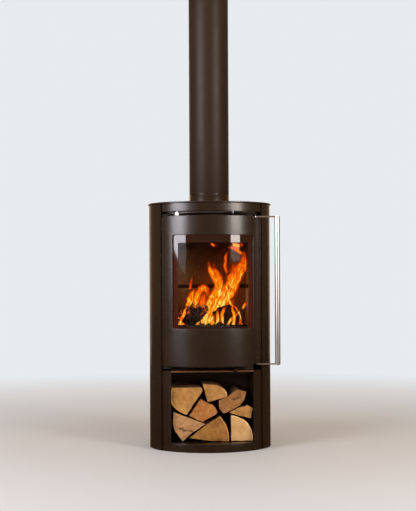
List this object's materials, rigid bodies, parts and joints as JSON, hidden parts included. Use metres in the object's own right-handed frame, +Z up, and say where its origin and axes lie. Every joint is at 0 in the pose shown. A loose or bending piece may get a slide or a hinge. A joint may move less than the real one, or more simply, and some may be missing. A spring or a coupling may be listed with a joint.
{
  "type": "wood burning stove",
  "caption": "Oval free-standing wood stove with a curved glass door, tall bar handle, open log store below and a round flue pipe on its top outlet.",
  "frame": {"origin": "on the floor, in the middle of the oval body, at the underside of the base plate", "axes": "+Z up, -Y out of the door, +X towards the handle"},
  "size_m": [0.4989, 0.3707, 1.9753],
  "materials": {
    "satin_paint": "satin dark brown-grey heat-resistant paint",
    "black_steel": "matt black heat-resistant paint",
    "stainless": "brushed along its length",
    "firebrick": "matt pressed vermiculite, tanned by use",
    "cast_iron": "raw sand-cast, ash dusted",
    "seal_rope": "braided glass-fibre rope",
    "galvanised": "dull zinc spangle",
    "stove_glass": "clear ceramic glass with a dark printed border",
    "firewood": "dry split hardwood end grain",
    "bark": "rough bark",
    "charred_wood": "burnt log with glowing cracks",
    "flame": "glowing gas, orange to yellow"
  },
  "bodies": {
    "root": {"side_panel_left": "satin_paint", "side_panel_right": "satin_paint", "back_panel": "satin_paint", "top_plate": "satin_paint", "fascia": "satin_paint", "front_plinth": "satin_paint", "base_plate": "black_steel", "store_floor": "satin_paint", "store_cheek_left": "satin_paint", "store_cheek_right": "satin_paint", "store_back": "black_steel", "store_roof": "satin_paint", "air_box": "black_steel", "air_spigot": "galvanised", "firebox_wall_left": "black_steel", "firebox_wall_right": "black_steel", "firebox_wall_back": "black_steel", "firebox_floor": "black_steel", "firebox_roof": "black_steel", "firebox_front": "black_steel", "heat_shield": "galvanised", "side_brick_left_lower": "firebrick", "side_brick_right_lower": "firebrick", "back_brick_lower": "firebrick", "side_brick_left_upper": "firebrick", "side_brick_right_upper": "firebrick", "back_brick_upper": "firebrick", "grate_bed": "black_steel", "grate": "cast_iron", "floor_brick_left": "firebrick", "floor_brick_right": "firebrick", "floor_brick_rear": "firebrick", "floor_brick_front": "firebrick", "log_guard": "cast_iron", "baffle_lower": "firebrick", "baffle_upper": "cast_iron", "ash_pan": "galvanised", "flue_collar": "satin_paint", "flue_pipe": "satin_paint", "hinge_upper": "black_steel", "hinge_lower": "black_steel", "air_guide": "black_steel"},
    "door": {"door_skin": "satin_paint", "door_glass": "stove_glass", "glass_gasket": "seal_rope", "glass_frame": "black_steel", "glass_clip_left": "black_steel", "glass_clip_right": "black_steel", "door_back_frame": "black_steel", "door_seal": "seal_rope"},
    "handle": {"handle_shaft": "stainless", "handle_bar": "stainless", "handle_arm_upper": "stainless", "handle_arm_lower": "stainless", "latch_hook_upper": "stainless", "latch_hook_lower": "stainless"},
    "upper_air": {"air_slider": "satin_paint", "air_tab": "stainless"},
    "lower_air": {"primary_slide": "black_steel", "primary_knob": "stainless"}
  },
  "joints": [
    {"name": "door_hinge", "type": "hinge", "parent": "root", "child": "door", "pos_m": [-0.176, -0.113, 0.6], "axis": [0, 0, -1], "range_deg": [0, 110]},
    {"name": "handle_turn", "type": "hinge", "parent": "door", "child": "handle", "pos_m": [0.171, -0.113, 0.6], "axis": [0, 0, -1], "range_deg": [0, 35]},
    {"name": "upper_air_slide", "type": "hinge", "parent": "root", "child": "upper_air", "pos_m": [0, 0.0993, 0.896], "axis": [0, 0, 1], "range_deg": [0, 20]},
    {"name": "lower_air_slide", "type": "slide", "parent": "root", "child": "lower_air", "axis": [-1, 0, 0], "range_m": [0, 0.04]}
  ]
}
